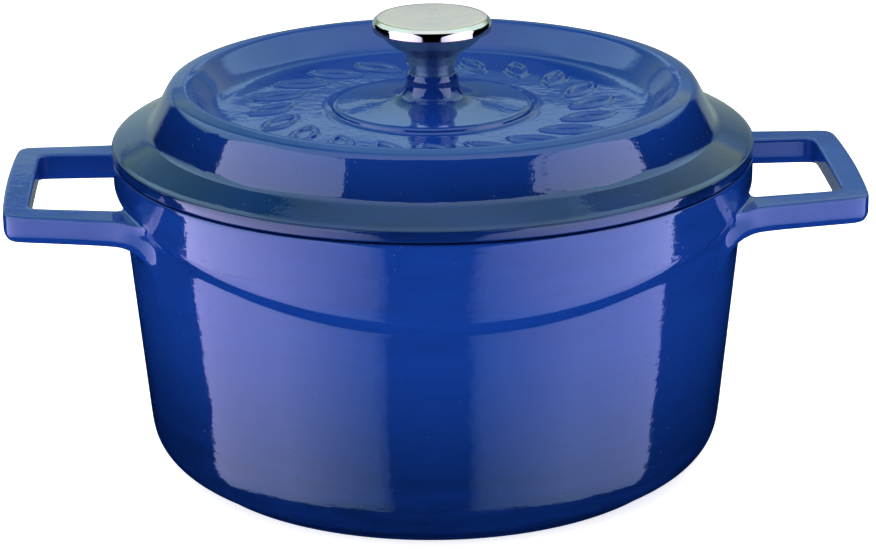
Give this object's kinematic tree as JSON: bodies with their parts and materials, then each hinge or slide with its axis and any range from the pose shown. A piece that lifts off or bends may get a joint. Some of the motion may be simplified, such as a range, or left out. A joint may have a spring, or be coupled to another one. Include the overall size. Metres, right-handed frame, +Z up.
{
  "type": "covered casserole dish",
  "caption": "Round enamelled cast-iron casserole with two loop handles and a lift-off lid that has a raised ring, a sunken basin and a flared steel knob.",
  "frame": {"origin": "centre of the foot, on the plane the pot stands on", "axes": "+Z up through the knob; +X through one loop handle; the front and back are alike"},
  "size_m": [0.339, 0.255, 0.1816],
  "materials": {
    "blue_enamel": "glossy cobalt vitreous enamel outside, fading to navy at the foot; black matt enamel inside",
    "gasket_rubber": "matt silicone rubber",
    "polished_steel": "mirror-polished stainless steel",
    "insert_brass": "turned",
    "satin_steel": "satin top face, polished edge",
    "fixing_steel": "zinc-plated or stainless, bright"
  },
  "bodies": {
    "pot": {"pot_body": "blue_enamel"},
    "lid": {"lid": "blue_enamel", "knob_gasket": "gasket_rubber", "knob_stem": "polished_steel", "knob_insert": "insert_brass", "knob_cap": "satin_steel", "screw_washer": "fixing_steel", "lock_washer": "fixing_steel", "knob_screw": "fixing_steel"}
  },
  "joints": [
    {"name": "lid_lift", "type": "slide", "parent": "pot", "child": "lid", "axis": [0, 0, 1], "range_m": [0, 0.2]}
  ]
}
